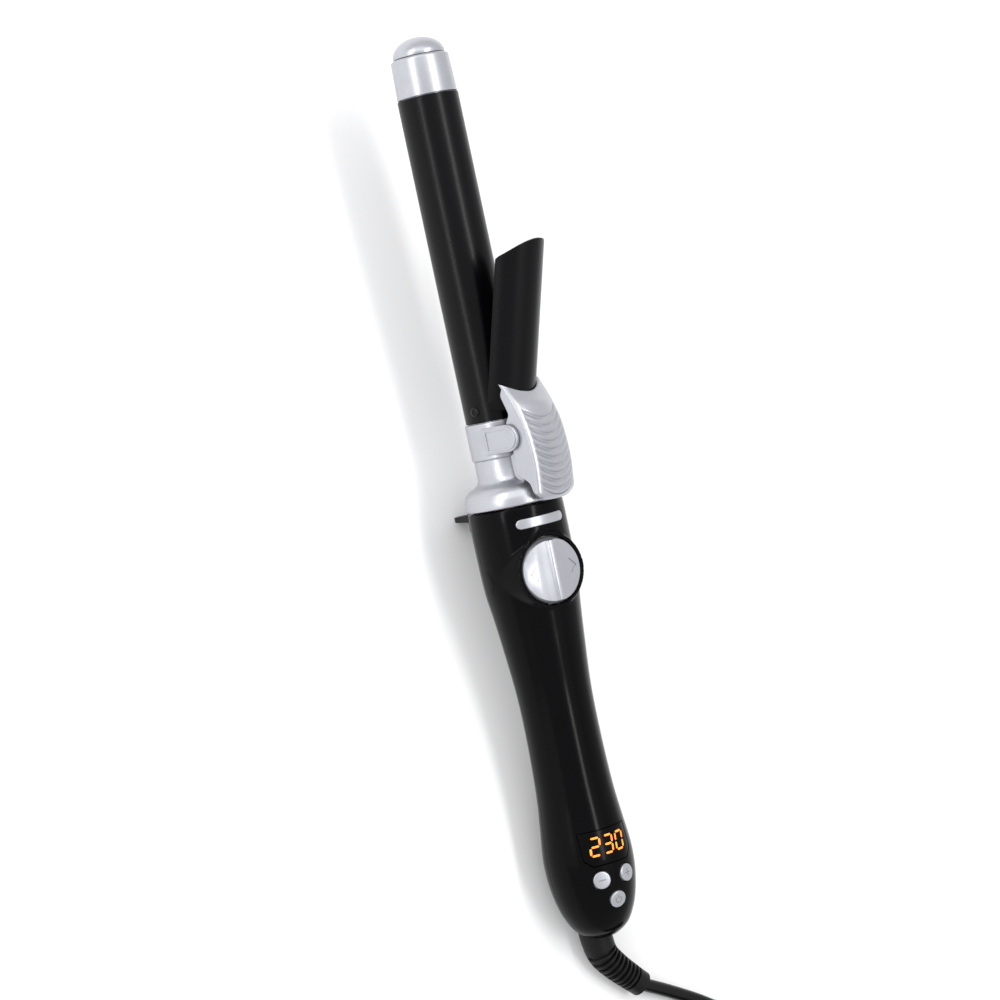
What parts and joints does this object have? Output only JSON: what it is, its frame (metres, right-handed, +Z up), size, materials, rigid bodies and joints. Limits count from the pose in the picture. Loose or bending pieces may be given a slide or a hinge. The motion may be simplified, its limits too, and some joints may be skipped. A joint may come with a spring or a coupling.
{
  "type": "automatic hair curler",
  "caption": "Hair curling iron whose heated barrel and spring clip are turned by a motor in the handle, lying on its fold-out stand, with a display, rocker, keys and a swivel mains cord.",
  "frame": {"origin": "on the table, under the centre of the iron's bounding box, without the cord", "axes": "+X towards the barrel's tip along the table, +Z up; the handle's front faces up"},
  "size_m": [0.5405, 0.1024, 0.0818],
  "materials": {
    "gloss_black": "high-gloss moulded black",
    "silver_plastic": "satin silver lacquer over moulded plastic",
    "barrel_coating": "satin black ceramic coating",
    "black_plastic": "fine moulded texture",
    "rubber_black": "soft moulded PVC",
    "cord_black": "glossy PVC sheath",
    "smoked_lens": "polished smoked acrylic",
    "display_amber": "amber LED segments behind a diffuser",
    "circuit_board": "green solder mask",
    "white_plastic": "plain nylon",
    "grey_plastic": "plain moulded",
    "steel": "plated steel",
    "brass": "nickel-free brass",
    "copper": "polished copper alloy",
    "heater_aluminium": "extruded",
    "carbon": "pressed carbon",
    "ceramic": "unglazed"
  },
  "bodies": {
    "handle": {"handle_front_shell": "gloss_black", "handle_rear_shell": "gloss_black", "top_bearing_cap": "black_plastic", "indicator_badge": "silver_plastic", "display_window": "smoked_lens", "shell_screw_1": "steel", "shell_screw_2": "steel", "main_board": "circuit_board", "display_module": "display_amber", "tact_switch_minus": "grey_plastic", "tact_switch_plus": "grey_plastic", "tact_switch_power": "grey_plastic", "rocker_cradle": "white_plastic", "rotation_switch_left": "grey_plastic", "rotation_switch_right": "grey_plastic", "carbon_brush_1": "carbon", "carbon_brush_2": "carbon", "carbon_brush_3": "carbon", "brush_block": "grey_plastic", "front_bush": "brass", "bearing_bracket": "grey_plastic", "gearbox_housing": "steel", "motor_can": "steel", "swivel_contact_housing": "grey_plastic", "stand_pin": "steel"},
    "barrel": {"drive_shaft": "steel", "drive_gear": "white_plastic", "slip_ring_1": "copper", "slip_ring_2": "copper", "slip_ring_3": "copper", "hub_collar": "silver_plastic", "hinge_pin": "steel", "clip_spring": "steel", "barrel_tube": "barrel_coating", "barrel_screw_left": "steel", "barrel_screw_right": "steel", "tip_collar": "silver_plastic", "tip_dome": "silver_plastic", "heater_clamp_upper": "heater_aluminium", "heater_clamp_lower": "heater_aluminium", "ptc_heater": "ceramic", "temperature_sensor": "ceramic", "heater_insulator": "ceramic"},
    "clip": {"clip_lever": "silver_plastic", "clip_plate": "barrel_coating", "clip_rivet": "steel"},
    "pinion": {"motor_pinion": "brass"},
    "stand": {"stand_foot": "black_plastic"},
    "rocker": {"rocker_button": "silver_plastic"},
    "minus_key": {"minus_button": "silver_plastic"},
    "plus_key": {"plus_button": "silver_plastic"},
    "power_key": {"power_button": "silver_plastic"},
    "cord": {"strain_relief": "rubber_black", "cord_lead": "cord_black", "cord_coil": "cord_black", "cord_tail": "cord_black", "plug_body": "black_plastic", "plug_pin_left": "brass", "plug_pin_right": "brass"}
  },
  "joints": [
    {"name": "barrel_spin", "type": "hinge", "parent": "handle", "child": "barrel", "pos_m": [-0.00573, 0.00135, 0.03435], "axis": [0.9954, 0, 0.0958], "continuous": true},
    {"name": "clip_hinge", "type": "hinge", "parent": "barrel", "child": "clip", "pos_m": [0.02067, -0.00374, 0.05021], "axis": [0.0343, -0.9336, -0.3567], "range_deg": [-19, 2], "stiffness_Nm_per_rad": 0.08, "springref_deg": -34.38},
    {"name": "pinion_spin", "type": "hinge", "parent": "handle", "child": "pinion", "pos_m": [-0.04469, 0.00135, 0.02155], "axis": [0.9954, 0, 0.0958], "continuous": true},
    {"name": "stand_hinge", "type": "hinge", "parent": "handle", "child": "stand", "pos_m": [-0.01088, 0.00135, 0.01476], "axis": [0, 1, 0], "range_deg": [0, 80]},
    {"name": "rocker_tilt", "type": "hinge", "parent": "handle", "child": "rocker", "pos_m": [-0.03455, 0.00135, 0.04463], "axis": [0.9954, 0, 0.0958], "range_deg": [-5, 5], "stiffness_Nm_per_rad": 1.2},
    {"name": "minus_press", "type": "slide", "parent": "handle", "child": "minus_key", "axis": [0.0906, -0.3256, -0.9412], "range_m": [0, 0.0005], "stiffness_N_per_m": 2000, "springref_m": -0.0004},
    {"name": "plus_press", "type": "slide", "parent": "handle", "child": "plus_key", "axis": [0.0906, 0.3256, -0.9412], "range_m": [0, 0.0005], "stiffness_N_per_m": 2000, "springref_m": -0.0004},
    {"name": "power_press", "type": "slide", "parent": "handle", "child": "power_key", "axis": [0.3665, 0, -0.9304], "range_m": [0, 0.0005], "stiffness_N_per_m": 2000, "springref_m": -0.0004},
    {"name": "cord_swivel", "type": "hinge", "parent": "handle", "child": "cord", "pos_m": [-0.17017, 0.00135, 0.01017], "axis": [-0.9954, 0, -0.0958], "continuous": true}
  ],
  "couplings": [
    {"joint": "pinion_spin", "follows": "barrel_spin", "ratio": -2}
  ]
}
